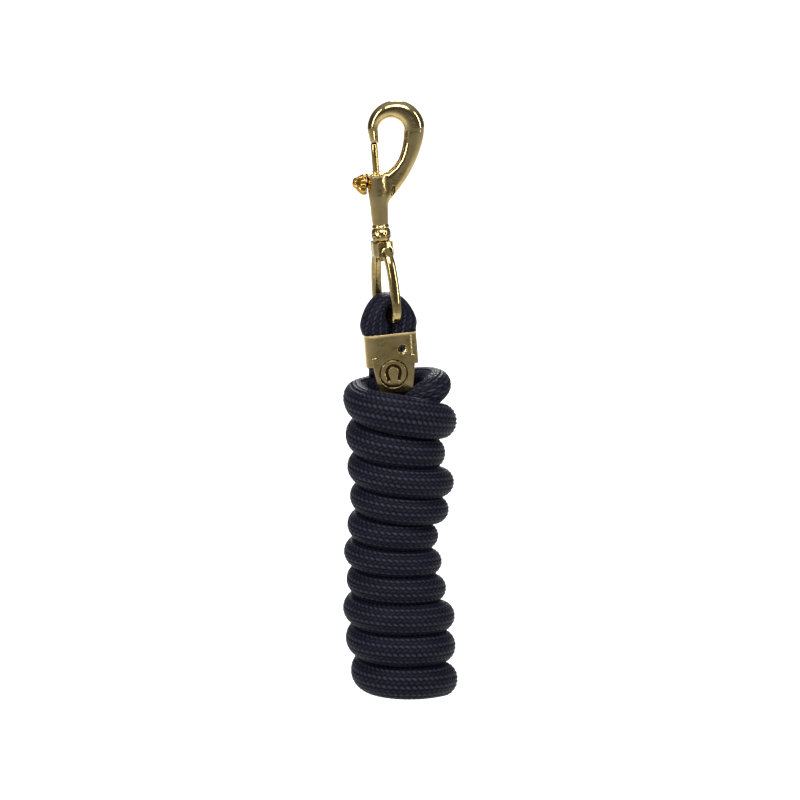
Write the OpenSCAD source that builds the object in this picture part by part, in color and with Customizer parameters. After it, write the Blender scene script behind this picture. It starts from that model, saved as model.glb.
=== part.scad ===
// Lead rope for a horse: a braided rope wound into a hank, with its end folded through the
// swivel eye of a bolt snap and held there by a stamped clamp.
// Millimetres, +Z up, front towards -Y. The origin is the centre of the hook's bend, where the
// snap hangs. The bend is off the barrel's axis, so the snap, the eye and the clamp lean together,
// and the hank hangs plumb below them.

/* [Rope] */
// Diameter of the braided rope
rope_d = 17; // [14:0.5:20]
// Turns wound round the hank
hank_turns = 10; // [6:1:14]
// Outside diameter of the hank at its two ends
hank_d = 61; // [56:1:76]
// How much smaller the hank's radius is at its middle
hank_waist = 3.5; // [0:0.5:5]

/* [Hook] */
// Inside width of the hook's bend
hook_gap = 15; // [11:0.5:20]
// Thickness of the hook from front to back
hook_t = 8; // [6:0.5:11]
// Metal over the top of the bend
bend_t = 9.8; // [6:0.2:13]
// Length of the mouth that the bolt closes
gate_len = 17; // [13:0.5:22]
// Lean of the snap as it hangs, in degrees
snap_lean = 4.5; // [0:0.5:8]

/* [Barrel and bolt] */
// Diameter of the barrel
barrel_d = 11.5; // [9:0.5:15]
// Length of the barrel
barrel_len = 32; // [28:0.5:40]
// Diameter of the bolt where it shows
bolt_d = 3.9; // [3:0.1:5]
// How far the bolt draws back
bolt_travel = 13; // [9:0.5:13.5]

/* [Swivel eye] */
// Inside width of the swivel eye
eye_gap = 20; // [17:0.5:26]
// Diameter of the eye's bar
eye_bar_d = 5.4; // [4:0.2:7]
// Inside height of the swivel eye
eye_h = 30; // [27:0.5:40]
// Turn of the eye from facing the front, in degrees
eye_turn = 66; // [0:1:90]

/* [Clamp] */
// Thickness of the clamp's sheet
sheet_t = 1.2; // [0.8:0.1:2]
// Height of the clamp's wings
wing_h = 18; // [12:0.5:26]
// Turn of the clamp from facing the front, in degrees
clamp_turn = 10; // [0:1:24]

/* [Hidden] */
$fn = 64;
FIT = 0.05;                            // radial clearance of a running fit
GAP = 0.3;                             // clearance between pieces that only pass each other

// Snap, in its own upright frame with the bend's centre at the origin
bend_r = hook_gap / 2;
snap_x = -bend_r - 2.8;                // axis of the bolt, barrel, swivel and clamp
outer_r = bend_r + 8.8;                // outer arc of the bend
outer_c = [2.9, bend_r + bend_t - outer_r];
nose_z = -6.5;
barrel_top = nose_z - gate_len;
barrel_bottom = barrel_top - barrel_len;
barrel_r = barrel_d / 2;
barrel_end_r = barrel_r * 0.76;
straight_len = barrel_len * 0.4;       // barrel above its taper
bolt_r = bolt_d / 2;
chamber_r = barrel_end_r - 1.2;
head_top = barrel_top - 3;
head_len = 7;
knob_z = head_top - head_len / 2;
stem_r = 1.7;
plug_top = barrel_bottom + 2.5;
spring_wire = 0.6;
spring_r = chamber_r - spring_wire / 2 - 0.15;
spring_coils = 7;

// Swivel stud and eye
collar_r = barrel_r * 0.96;
collar_h = 7;
collar_z = barrel_bottom - collar_h;
shank_r = 2.6;
boss_h = 9;
boss_top = collar_z - GAP;
boss_bottom = boss_top - boss_h;
boss_r = 5.2;
rivet_r = 3.4;
bar_r = eye_bar_d / 2;
leg_x = eye_gap / 2 + bar_r;
eye_top = boss_bottom + bar_r;         // centre line of the eye's top bar
pin_z = boss_bottom - eye_h - bar_r;   // centre line of its bottom bar, where the rope turns
corner_r = 8;

// Rope where it folds over the eye's bottom bar and runs through the clamp
rope_r = rope_d / 2;
k = rope_d / 17;                       // the route was laid out for a rope 17 thick
strand_w = 14 * k;                     // each strand, squeezed sideways by the clamp
fold_t = 9.4 * k;                      // the rope, flattened over the bar
fold_r = bar_r + GAP + fold_t / 2;
cheek_x = bar_r + GAP + 5.5 * k;
clamp_top = pin_z - 11 * k;
clamp_w = 2 * strand_w + 2 * sheet_t;
clamp_d = rope_d + 2 * sheet_t;
clamp_corner = 6 * k;
tongue_top = clamp_top - wing_h;
tongue_h = 16.5;
tongue_w = [clamp_w * 0.84, clamp_w * 0.68];
punch = [5.5, tongue_top + wing_h * 0.48];  // place of the punched hole: across, and height
punch_r = 1.7;
mark = [-0.8, tongue_top - 5];         // centre of the engraved ring and horseshoe
mark_r = 8.3;
engraving = 0.4;
short_end = clamp_top - wing_h - 8;

// Hank, plumb under the clamp's tongue
function leaned(p) = [
    p[0] * cos(snap_lean) - p[2] * sin(snap_lean),
    p[1],
    p[0] * sin(snap_lean) + p[2] * cos(snap_lean)
];
tongue_end = leaned([snap_x, 0, tongue_top - tongue_h]);
hank_x = tongue_end[0] + 2.5;
hank_top = tongue_end[2] + 1.5;
turn_pitch = rope_d * 1.041;
hank_h = (hank_turns - 1) * turn_pitch + rope_d;
hank_r = hank_d / 2;
mouth_r = rope_d + 0.1;                // room for two strands side by side
mouth_depth = 38;
wind_r = hank_r - rope_r;              // centre line of the rope in the end turns

// Centre line of the folded end: [across, front to back, up] from the eye's bottom bar, leaning
FOLD = [
    [strand_w / 2, 0, short_end - pin_z],
    [strand_w / 2, 0, -28 * k],
    [strand_w / 2, 0, -15 * k],
    [8 * k, 0, -9 * k],
    [8.4 * k, 0, -bar_r - 2.3 * k],
    [cheek_x, 0, 0],
    [fold_r * cos(45), 0, fold_r * sin(45)],
    [0, 0, fold_r],
    [-fold_r * cos(45), 0, fold_r * sin(45)],
    [-cheek_x, 0, 0],
    [-8.4 * k, 0, -bar_r - 2.3 * k],
    [-8 * k, 0, -9 * k],
    [-strand_w / 2, 0, -15 * k],
    [-strand_w / 2, 0, -28 * k]
];
// Thickness in the fold's plane and width across it, at each point of FOLD
FOLD_SIZE = [
    [14, 17], [14, 17], [14, 17], [15.6, 17], [15.2, 17], [11, 17], [9.6, 17],
    [9.4, 17], [9.6, 17], [11, 17], [15.2, 17], [15.6, 17], [14, 17], [14, 17]
];
// From the clamp down into the hank's mouth: [across, front to back, up] from the mouth's centre
DROP = [
    [-9.5, 1, 2],
    [-8.6, 1.5, -10],
    [-8.5, 1, -22],
    [-8.5, 0, -38]
];
// The tail: round the back of the top turn, over the right side and down into the mouth
TAIL = [
    [-19, 11, -5.5],
    [-11, 19, -4],
    [0, 22, -2],
    [11, 19, 0],
    [19, 11, 1.5],
    [22, 2.5, 1.5],
    [19.5, -5, -0.5],
    [14.5, -6, -4.5],
    [9.5, -3.5, -9.5],
    [7.5, -1, -15],
    [8, 0, -23],
    [8.5, 0, -32]
];
OVER = 7;                              // points of TAIL that lie on the top turn

// A point at share t between p[i] and p[i + 1] on a smooth curve through the points p
function curve(p, i, t) =
    let (
        a = p[max(i - 1, 0)],
        b = p[i],
        c = p[min(i + 1, len(p) - 1)],
        d = p[min(i + 2, len(p) - 1)]
    )
    0.5 * (2 * b + (c - a) * t + (2 * a - 5 * b + 4 * c - d) * t * t
        + (3 * b - a - 3 * c + d) * t * t * t);
function smooth(p, steps) = concat(
    [for (i = [0 : len(p) - 2]) for (j = [0 : steps - 1]) curve(p, i, j / steps)],
    [p[len(p) - 1]]
);
function unit(v) = v / norm(v);
function along(p, i) = unit(p[min(i + 1, len(p) - 1)] - p[max(i - 1, 0)]);
function turned(p, angle) = [
    p[0] * cos(angle) - p[1] * sin(angle),
    p[0] * sin(angle) + p[1] * cos(angle),
    p[2]
];
// Share from 0 at height a to 1 at height b
function share(z, a, b) = min(1, max(0, (z - a) / (b - a)));

// Sweeps an oval along the points p. size holds each ring's thickness and width, and the width
// lies along side
module tube(p, size, side, sides = 10) {
    rings = len(p);
    points = [
        for (i = [0 : rings - 1])
            let (
                t = along(p, i),
                u = unit(cross(side[i], t)),
                w = cross(t, u)
            )
            for (j = [0 : sides - 1])
                let (a = 360 * j / sides)
                p[i] + u * cos(a) * size[i][0] / 2 + w * sin(a) * size[i][1] / 2
    ];
    walls = [
        for (i = [0 : rings - 2])
            for (j = [0 : sides - 1])
                let (a = i * sides + j, b = i * sides + (j + 1) % sides)
                for (f = [[a, b, b + sides], [a, b + sides, a + sides]]) f
    ];
    first = [for (j = [sides - 1 : -1 : 0]) j];
    last = [for (j = [0 : sides - 1]) (rings - 1) * sides + j];
    polyhedron(points, concat(walls, [first], [last]));
}

module lean() {
    rotate([0, -snap_lean, 0]) children();
}

module on_axis(z = 0) {
    translate([snap_x, 0, z]) children();
}

GOLD = [0.72, 0.62, 0.38];
BRASS = [0.78, 0.58, 0.25];
STEEL = [0.6, 0.6, 0.6];
NAVY = [0.11, 0.11, 0.19];

// Outline of the hook and its arm: the outer arc, then a bulging edge down to the barrel
function arm_edge(t) =
    let (
        top = [outer_c[0] + outer_r, outer_c[1] - 2],
        pull = [14, barrel_top - 0.5],
        low = [snap_x + 4, barrel_top - 18.5]
    )
    (1 - t) * (1 - t) * top + 2 * t * (1 - t) * pull + t * t * low;
module hook_outline() {
    polygon(concat(
        [[-bend_r - 5.2, nose_z]],
        [for (a = [180 : -6 : 0]) outer_c + outer_r * [cos(a), sin(a)]],
        [for (i = [1 : 10]) arm_edge(i / 10)],
        [[snap_x, barrel_top - 8], [snap_x, barrel_top]],
        [[-bend_r, barrel_top], [-bend_r, nose_z]]
    ));
}

// The mouth: a round bend, then straight sides that close in towards the barrel
module mouth_cut() {
    rotate([90, 0, 0])
        cylinder(r = bend_r, h = hook_t + 10, center = true);
    rotate([90, 0, 0])
        linear_extrude(height = hook_t + 10, center = true)
            polygon([
                [-bend_r, 0], [bend_r, 0], [bend_r - 1, -7], [bend_r - 4.2, -16],
                [bend_r - 11, barrel_top + 0.4], [snap_x - 8, barrel_top + 0.4], [snap_x - 8, nose_z],
                [-bend_r, nose_z]
            ]);
}

// Snap body: hook, arm and barrel cast in one, bored for the bolt, slotted for the knob's stem
module snap_body() {
    color(GOLD)
        lean()
            difference() {
                union() {
                    difference() {
                        rotate([90, 0, 0])
                            linear_extrude(height = hook_t, center = true)
                                hook_outline();
                        mouth_cut();
                    }
                    on_axis(barrel_top - straight_len)
                        cylinder(r = barrel_r, h = straight_len);
                    on_axis(barrel_bottom)
                        cylinder(r1 = barrel_end_r, r2 = barrel_r, h = barrel_len - straight_len);
                }
                on_axis(barrel_bottom - 1)
                    cylinder(r = bolt_r + FIT, h = barrel_len + 2);
                on_axis(barrel_bottom - 1)
                    cylinder(r = chamber_r, h = head_top - barrel_bottom + 1 + FIT);
                on_axis(nose_z - 1)
                    cylinder(r = bolt_r - 0.5 + FIT, h = 2.5);
                knob_slot();
            }
}

// Slot in the barrel's left side, as long as the knob's stem travels
module knob_slot() {
    for (z = [knob_z, knob_z - bolt_travel])
        on_axis(z)
            rotate([0, -90, 0])
                cylinder(r = stem_r + GAP, h = barrel_r + 2);
    on_axis(knob_z - bolt_travel)
        translate([-barrel_r - 2, -stem_r - GAP, 0])
            cube([barrel_r + 2, 2 * (stem_r + GAP), bolt_travel]);
}

// Bolt: a pin with a spigot that enters the nose, and a thick head that slides in the barrel
module bolt() {
    color(GOLD)
        lean()
            difference() {
                union() {
                    on_axis(head_top - 1)
                        cylinder(r = bolt_r, h = nose_z - FIT - head_top + 1);
                    on_axis(nose_z - 1)
                        cylinder(r = bolt_r - 0.5, h = 2.2);
                    on_axis(head_top - head_len)
                        cylinder(r = chamber_r - FIT, h = head_len);
                }
                on_axis(knob_z)
                    rotate([0, -90, 0])
                        cylinder(r = stem_r, h = chamber_r + 2);
            }
}

// Thumb knob: a fluted cone, wide against the barrel, on a stem driven into the bolt's head
module thumb_knob() {
    base_r = barrel_r * 1.04;
    color(BRASS)
        lean()
            on_axis(knob_z)
                rotate([0, -90, 0]) {
                    cylinder(r = stem_r, h = barrel_r + 2);
                    translate([0, 0, barrel_r + GAP])
                        difference() {
                            cylinder(r1 = base_r, r2 = base_r * 0.52, h = 8.3);
                            for (i = [0 : 9])
                                rotate([0, 0, i * 36])
                                    translate([base_r * 1.08, 0, -1])
                                        rotate([0, -20, 0])
                                            cylinder(r = 1, h = 14, $fn = 24);
                        }
                }
}

// Spring: round wire wound from the stud's plug up to the bolt's head
module bolt_spring() {
    low = plug_top + spring_wire / 2;
    high = head_top - head_len - spring_wire / 2;
    steps = 16;
    count = spring_coils * steps;
    path = [
        for (i = [0 : count])
            let (a = 360 * i / steps)
            [spring_r * cos(a), spring_r * sin(a), low + (high - low) * i / count]
    ];
    color(STEEL)
        lean()
            on_axis()
                tube(path, [for (p = path) [spring_wire, spring_wire]], [for (p = path) [0, 0, 1]], 8);
}

// Swivel stud: plug that closes the barrel, collar, shank for the eye, and a peened end
module swivel_stud() {
    color(GOLD)
        lean()
            on_axis() {
                translate([0, 0, barrel_bottom - 1])
                    cylinder(r = chamber_r, h = plug_top - barrel_bottom + 1);
                translate([0, 0, collar_z + 1.5])
                    cylinder(r = collar_r, h = collar_h - 3);
                translate([0, 0, collar_z + collar_h - 1.5])
                    cylinder(r1 = collar_r, r2 = collar_r - 1.5, h = 1.5);
                translate([0, 0, collar_z])
                    cylinder(r1 = collar_r - 1.2, r2 = collar_r, h = 1.5);
                translate([0, 0, boss_bottom - GAP - 1])
                    cylinder(r = shank_r, h = boss_h + 2 * GAP + 2);
                translate([0, 0, boss_bottom - GAP - 2.4])
                    cylinder(r1 = rivet_r - 1.2, r2 = rivet_r, h = 2.4);
            }
}

module eye_corner(x, z, from) {
    translate([x, 0, z])
        rotate([90, 0, 0])
            rotate([0, 0, from])
                rotate_extrude(angle = 90)
                    translate([corner_r, 0])
                        circle(r = bar_r);
}

// Swivel eye: a rounded ring of round bar with a bored boss at its top
module swivel_eye() {
    side = leg_x - corner_r;
    color(GOLD)
        lean()
            on_axis()
                rotate([0, 0, -eye_turn])
                    difference() {
                        union() {
                            eye_corner(side, eye_top - corner_r, 0);
                            eye_corner(-side, eye_top - corner_r, 90);
                            eye_corner(-side, pin_z + corner_r, 180);
                            eye_corner(side, pin_z + corner_r, 270);
                            for (x = [-leg_x, leg_x])
                                translate([x, 0, pin_z + corner_r])
                                    cylinder(r = bar_r, h = eye_top - pin_z - 2 * corner_r);
                            for (z = [eye_top, pin_z])
                                translate([-side, 0, z])
                                    rotate([0, 90, 0])
                                        cylinder(r = bar_r, h = 2 * side);
                            translate([0, 0, boss_bottom])
                                cylinder(r = boss_r, h = boss_h);
                        }
                        translate([0, 0, boss_bottom - 1])
                            cylinder(r = shank_r + FIT, h = boss_h + 2);
                    }
}

// A block w wide and d deep with round upright edges, standing on z = 0
module round_block(w, d, h, r) {
    for (x = [-1, 1])
        for (y = [-1, 1])
            translate([x * (w / 2 - r), y * (d / 2 - r), 0])
                cylinder(r = r, h = h);
    translate([-w / 2 + r, -d / 2, 0])
        cube([w - 2 * r, d, h]);
    translate([-w / 2, -d / 2 + r, 0])
        cube([w, d - 2 * r, h]);
}

module clamp_frame() {
    lean()
        on_axis()
            rotate([0, 0, clamp_turn])
                children();
}

// Clamp: one sheet. Its wings go round both strands and almost meet at the back, and its tongue
// hangs down the front with a punched hole above it and an engraved ring on it
module rope_clamp() {
    front = -clamp_d / 2;
    color(GOLD)
        clamp_frame()
            difference() {
                union() {
                    difference() {
                        translate([0, 0, tongue_top])
                            round_block(clamp_w, clamp_d, wing_h, clamp_corner);
                        translate([0, 0, tongue_top - 1])
                            round_block(clamp_w - 2 * sheet_t, clamp_d - 2 * sheet_t, wing_h + 2,
                                clamp_corner - sheet_t);
                        translate([-1.5, 0, tongue_top - 1])
                            cube([3, clamp_d, wing_h + 2]);
                    }
                    translate([0, front + sheet_t, 0])
                        rotate([90, 0, 0])
                            linear_extrude(height = sheet_t)
                                tongue_outline();
                }
                translate([punch[0], front - 0.1, punch[1]])
                    rotate([-90, 0, 0]) {
                        cylinder(r = punch_r, h = sheet_t + 1);
                        cylinder(r1 = punch_r + 1.6, r2 = punch_r, h = sheet_t * 0.8);
                    }
                translate([mark[0], front - 0.1, mark[1]])
                    rotate([-90, 0, 0]) {
                        groove(mark_r - 0.6, mark_r, 360);
                        rotate([0, 0, 130])
                            groove(3, 4.6, 280);
                    }
            }
}

// An engraved arc from radius a to radius b, as wide as angle, from its own +X round
module groove(a, b, angle) {
    rotate_extrude(angle = angle)
        translate([a, 0])
            square([b - a, engraving]);
}

module tongue_outline() {
    top = tongue_w[0] / 2;
    end = tongue_w[1] / 2;
    r = 4;
    z = tongue_top - tongue_h;
    polygon(concat(
        [[top, tongue_top + 4]],
        [for (a = [0 : -15 : -90]) [end - r + r * cos(a), z + r + r * sin(a)]],
        [for (a = [270 : -15 : 180]) [r - end + r * cos(a), z + r + r * sin(a)]],
        [[-top, tongue_top + 4]]
    ));
}

// Rope through the eye: the short end, the fold over the bar, and the strand into the mouth
module rope_eye() {
    pin = leaned([snap_x, 0, pin_z]);
    mouth = [hank_x, 0, hank_top];
    fold_turn = 90 - eye_turn;
    steps = 3;
    upper = [
        for (p = smooth(FOLD, steps))
            let (angle = fold_turn + (clamp_turn - fold_turn) * share(p[2], 0, -11 * k))
            pin + leaned(turned(p, angle))
    ];
    drop = [for (p = DROP) mouth + [p[0] * k, p[1] * k, p[2]]];
    lower = smooth(concat([upper[len(upper) - 1]], drop), steps);
    path = concat(upper, [for (i = [1 : len(lower) - 1]) lower[i]]);
    fold_size = smooth(FOLD_SIZE, steps);
    last_fold = len(upper) - 1;
    size = [
        for (i = [0 : len(path) - 1])
            i <= last_fold
                ? fold_size[i] * k
                : let (s = share(i, last_fold, last_fold + 4)) [14 + 3 * s, 17] * k
    ];
    side = [
        for (i = [0 : len(path) - 1])
            turned([0, 1, 0], path[i][2] > pin[2] - 5 ? fold_turn : clamp_turn)
    ];
    color(NAVY)
        tube(path, size, side, 12);
}

// Tail: the rope's other end, from the top turn over the right side and tucked into the mouth
module rope_tail() {
    route = [
        for (i = [0 : len(TAIL) - 1])
            let (across = i < OVER ? wind_r / 22 : k)
            [TAIL[i][0] * across, TAIL[i][1] * across, TAIL[i][2] * k]
    ];
    path = smooth([for (p = route) [hank_x, 0, hank_top] + p], 3);
    color(NAVY)
        tube(path, [for (p = path) [rope_d, rope_d]], [for (p = path) unit([1, 1, -1])]);
}

// Radius of the hank at share t of its height: full at both ends, less at the waist
function hank_side(t) = hank_r - hank_waist * (1 - pow(2 * t - 1, 2));

// Hank: the outer shape of the wound turns, with the mouth that both strands go into
module rope_hank() {
    low = hank_top - hank_h;
    rim = (hank_r - mouth_r) / 2;
    body_h = hank_h - rim - rope_r;
    foot_c = [hank_r - rope_r, low + rope_r];
    rim_c = [hank_r - rim, hank_top - rim];
    color(NAVY)
        translate([hank_x, 0, 0])
            rotate_extrude()
                polygon(concat(
                    [[0, low]],
                    [for (a = [-90 : 15 : 0]) foot_c + rope_r * [cos(a), sin(a)]],
                    [for (i = [1 : 11]) [hank_side(i / 12), low + rope_r + body_h * i / 12]],
                    [for (a = [0 : 15 : 180]) rim_c + rim * [cos(a), sin(a)]],
                    [[mouth_r, hank_top - mouth_depth], [0, hank_top - mouth_depth]]
                ));
}

snap_body();
bolt();
thumb_knob();
bolt_spring();
swivel_stud();
swivel_eye();
rope_clamp();
rope_eye();
rope_tail();
rope_hank();
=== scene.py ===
import math

import bpy
import numpy as np
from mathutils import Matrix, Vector


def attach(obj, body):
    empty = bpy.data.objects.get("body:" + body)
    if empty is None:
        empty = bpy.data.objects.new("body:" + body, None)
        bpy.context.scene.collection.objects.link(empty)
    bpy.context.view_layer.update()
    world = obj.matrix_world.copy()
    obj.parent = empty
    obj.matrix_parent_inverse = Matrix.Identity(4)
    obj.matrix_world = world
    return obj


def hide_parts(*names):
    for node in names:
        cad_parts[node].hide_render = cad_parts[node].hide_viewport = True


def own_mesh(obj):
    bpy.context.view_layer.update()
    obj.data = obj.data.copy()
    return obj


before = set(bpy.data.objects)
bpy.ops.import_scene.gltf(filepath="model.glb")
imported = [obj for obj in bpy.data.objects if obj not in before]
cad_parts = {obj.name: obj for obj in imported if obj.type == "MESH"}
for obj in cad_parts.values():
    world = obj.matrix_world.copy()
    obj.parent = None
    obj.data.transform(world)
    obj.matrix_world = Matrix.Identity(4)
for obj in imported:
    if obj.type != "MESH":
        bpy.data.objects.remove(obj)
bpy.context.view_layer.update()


# ---------------------------------------------------------------------------------------------
# Camera. It stands a little above the hanging rope and straight in front of it, with a long lens
# so that the hank's turns hardly change in size from top to bottom.
AIM = Vector((0.0051, 0.0, -0.156))
CAMERA_RISE = math.radians(11)
CAMERA_AWAY = 4.2

lens = bpy.data.cameras.new("studio_camera")
lens.lens = 330
lens.sensor_width = 36
camera = bpy.data.objects.new("studio_camera", lens)
bpy.context.scene.collection.objects.link(camera)
camera.location = AIM + CAMERA_AWAY * Vector((0, -math.cos(CAMERA_RISE), math.sin(CAMERA_RISE)))
camera.rotation_euler = (math.pi / 2 - CAMERA_RISE, 0, 0)
bpy.context.scene.camera = camera


# ---------------------------------------------------------------------------------------------
# Rope: one length of 17 mm braid, 24 bundles of dyed yarn plaited round a soft filler. Its short
# end is folded over the eye's bar; the rest drops down the hank's middle, turns out at the bottom
# and is wound up in ten turns, and the last end is tucked down into the mouth by hand.
ROPE_D = 0.017
SNAP_AXIS = -0.0103          # across, from the hook's bend to the axis of barrel, swivel and clamp
LEAN = math.radians(4.5)     # how far the snap, the eye and the clamp lean as they hang
EYE_BAR = -0.1045            # height of the eye's bottom bar, in the leaning frame
FOLD_TURN = math.radians(24)
CLAMP_TURN = math.radians(10)
HANK_X = 0.004
HANK_TOP = -0.14885
TURNS = 10


def leaned(point):
    """The point moved from the snap's upright frame to where it hangs"""
    x, y, z = point
    return np.array([x * math.cos(LEAN) - z * math.sin(LEAN), y, x * math.sin(LEAN) + z * math.cos(LEAN)])


def turned(point, angle):
    """The point turned about the upright axis"""
    x, y, z = point
    return np.array([x * math.cos(angle) - y * math.sin(angle), x * math.sin(angle) + y * math.cos(angle), z])


# The folded end, from the eye's bottom bar: across, front to back, up; then the rope's thickness
# in the fold's plane and its width across that plane, where the bar and the clamp flatten it
FOLD = [
    ((0.007, 0, -0.037), 14, 17), ((0.007, 0, -0.028), 14, 17), ((0.007, 0, -0.015), 14.6, 17),
    ((0.008, 0, -0.009), 17, 17), ((0.0084, 0, -0.005), 17.8, 17), ((0.0085, 0, 0), 12.4, 17),
    ((0.0077 * math.cos(math.pi / 4), 0, 0.0077 * math.sin(math.pi / 4)), 9.6, 17),
    ((0, 0, 0.0077), 9.4, 17),
    ((-0.0077 * math.cos(math.pi / 4), 0, 0.0077 * math.sin(math.pi / 4)), 9.6, 17),
    ((-0.0085, 0, 0), 12.4, 17), ((-0.0084, 0, -0.005), 17.8, 17), ((-0.008, 0, -0.009), 17, 17),
    ((-0.007, 0, -0.015), 14.6, 17),
    ((-0.007, 0, -0.028), 14, 17),
]
# From the clamp down the mouth's left half and the hank's hollow, then out into the bottom turn.
# These and the tail's points are measured from the middle of the hank's mouth
DROP = [(-0.0095, 0.001, 0.002), (-0.0086, 0.0015, -0.010), (-0.0085, 0.001, -0.022), (-0.0085, 0, -0.038)]
HOLLOW = [
    (-0.004, 0, -0.058), (-0.0015, 0, -0.080), (-0.002, 0, -0.105), (-0.002, 0.001, -0.130),
    (-0.001, 0.001, -0.146), (-0.002, 0.005, -0.160), (-0.001, 0.014, -0.168), (0.008, 0.0205, -0.170),
    (0.018, 0.0155, -0.1705),
]
# The tail, from the end of the top turn round to the front and down into the mouth
TAIL = [
    (-0.019, 0.011, -0.0055), (-0.011, 0.019, -0.004), (0, 0.022, -0.002), (0.011, 0.019, 0),
    (0.019, 0.011, 0.0015), (0.022, 0.0025, 0.0015), (0.0195, -0.005, -0.0005), (0.0145, -0.006, -0.0045),
    (0.0095, -0.0035, -0.0095), (0.0075, -0.001, -0.015), (0.008, 0, -0.023), (0.0085, 0, -0.032),
]
# Which side of the rope faces outwards where it turns out of the hollow, and where the tail dives
HOLLOW_OUT = [(-1, 0, -0.2), (-0.5, -0.4, -0.8), (-0.3, 0.5, -0.9), (0.2, 0.9, -0.5), (0.8, 0.6, -0.2)]
TAIL_OUT = [
    (1, -0.7, 0.2), (0.2, -0.9, 0.4), (-0.5, -0.8, 0.1), (-0.7, -0.7, 0), (-0.8, -0.6, 0), (-0.8, -0.6, 0),
]
FULL, SQUEEZED = 17, 16.5    # the rope's width, and its thickness where it is only lightly pressed
# How far the wound turns reach to the left and to the right, in millimetres, from the bottom up;
# the hands that wound them pulled some tighter than others
REACH_LEFT = [23, 26, 27.5, 25.5, 27, 25, 23.5, 25, 26, 27]
REACH_RIGHT = [38, 37, 36.5, 31.5, 29, 27, 33, 36, 31, 37.5]
# Height of the wound turns: the middle, how far the ends lie from it, how much further apart the
# turns are at the ends, and how the turns tilt from left to right, in the middle and towards the top
COIL_MIDDLE, COIL_REACH, COIL_SPREAD = -0.23971, 0.07839, 0.00932
COIL_TILT, COIL_TILT_UP = 0.00069, -0.00209
COIL_LOWEST = -0.3197
STEPS = 16                   # stations in one turn
THICKEST, TURN_WIDTH = 19.4, 17.4
# The top turn rides up in front: over what share of a turn, how far, and how much fuller it is
RIDE_SHARE, RIDE_UP, RIDE_FULLER = 0.17, 0.0022, 3.6

stations = []                # each: centre, outward side, side of the width, thickness, width


def station(centre, out, side, thickness, width):
    """Adds a station, its side facing the way that the last one's does"""
    if stations and np.dot(side, stations[-1][6:9]) < 0:
        side = -np.asarray(side)
    stations.append(np.concatenate([centre, out, side, [thickness / 1000, width / 1000]]))


bar = leaned((SNAP_AXIS, 0, EYE_BAR))
for number, (point, thickness, width) in enumerate(FOLD):
    share = min(1, max(0, -point[2] / 0.011))
    turn = FOLD_TURN + (CLAMP_TURN - FOLD_TURN) * share
    ahead = np.subtract(FOLD[min(number + 1, len(FOLD) - 1)][0], FOLD[max(number - 1, 0)][0])
    out = np.array([ahead[2], 0, -ahead[0]]) * -1
    station(bar + leaned(turned(point, turn)), leaned(turned(out / np.linalg.norm(out), turn)),
            leaned(turned((0, 1, 0), turn)), thickness, width)
mouth = np.array([HANK_X, 0, HANK_TOP])
for number, point in enumerate(DROP + HOLLOW[:4]):
    station(mouth + point, (-1, 0, 0), (0, 1, 0), 13.5 + 0.4 * number, FULL)
for point, out in zip(HOLLOW[4:], HOLLOW_OUT):
    station(mouth + point, out, (1, 0.3, 0), SQUEEZED, FULL)
for number in range(int(0.3 * STEPS), int((TURNS - 0.15) * STEPS) + 1):
    turn = number / STEPS
    up = 2 * turn / TURNS - 1          # from -1 at the bottom turn to 1 at the top one
    left = -np.interp(turn, np.arange(TURNS) + 0.75, REACH_LEFT) / 1000
    right = np.interp(turn, np.arange(TURNS) + 0.25, REACH_RIGHT) / 1000
    angle = -2 * math.pi * (turn - 0.25)
    around = np.array([math.cos(angle), math.sin(angle), 0])
    radius = (right - left) / 2 - ROPE_D / 2
    height = COIL_MIDDLE + COIL_REACH * up + COIL_SPREAD * up ** 3
    height += (COIL_TILT + COIL_TILT_UP * up) * around[0]
    ride = math.exp(-((turn - TURNS + 0.5) / RIDE_SHARE) ** 2)
    height += RIDE_UP * ride
    pitch = 1000 * (COIL_REACH + 3 * COIL_SPREAD * up * up) * 2 / TURNS
    centre = np.array([(left + right) / 2, 0, max(height, COIL_LOWEST)]) + radius * around
    station(centre, around, around, min(THICKEST, pitch + 0.4) + RIDE_FULLER * ride, TURN_WIDTH)
for number, point in enumerate(TAIL[2:]):
    out = np.array((point[0], point[1], 0.004) if number < 4 else TAIL_OUT[number - 4])
    out = out / np.linalg.norm(out)
    station(mouth + point, out, out, SQUEEZED, FULL)


def through(points, spans):
    """A smooth curve through the points, in so many short spans between each two"""
    p = np.vstack([2 * points[0] - points[1], points, 2 * points[-1] - points[-2]])
    t = np.arange(spans)[:, None] / spans
    parts = [
        0.5 * (2 * b + (c - a) * t + (2 * a - 5 * b + 4 * c - d) * t ** 2 + (3 * b - a - 3 * c + d) * t ** 3)
        for a, b, c, d in zip(p, p[1:], p[2:], p[3:])
    ]
    return np.vstack(parts + [points[-1:]])


def evened(line, step):
    """The same curve with its points a step apart"""
    run = np.concatenate([[0], np.cumsum(np.linalg.norm(np.diff(line[:, :3], axis=0), axis=1))])
    places = np.linspace(0, run[-1], int(round(run[-1] / step)) + 1)
    return places, np.stack([np.interp(places, run, column) for column in line.T], 1)


def eased(line, reach):
    """The curve with its kinks worn off, over so many points each way, and its ends kept"""
    weights = np.hanning(2 * reach + 3)[1:-1]
    padded = np.vstack([2 * line[:1] - line[reach:0:-1], line, 2 * line[-1:] - line[-2:-reach - 2:-1]])
    return np.stack([np.convolve(column, weights / weights.sum(), "valid") for column in padded.T], 1)


def unit(v):
    return v / np.linalg.norm(v, axis=-1, keepdims=True)


run, line = evened(through(np.array(stations), 12), 0.0005)
run, line = evened(eased(line, 8), 0.0005)
rope_length = run[-1]

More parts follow.
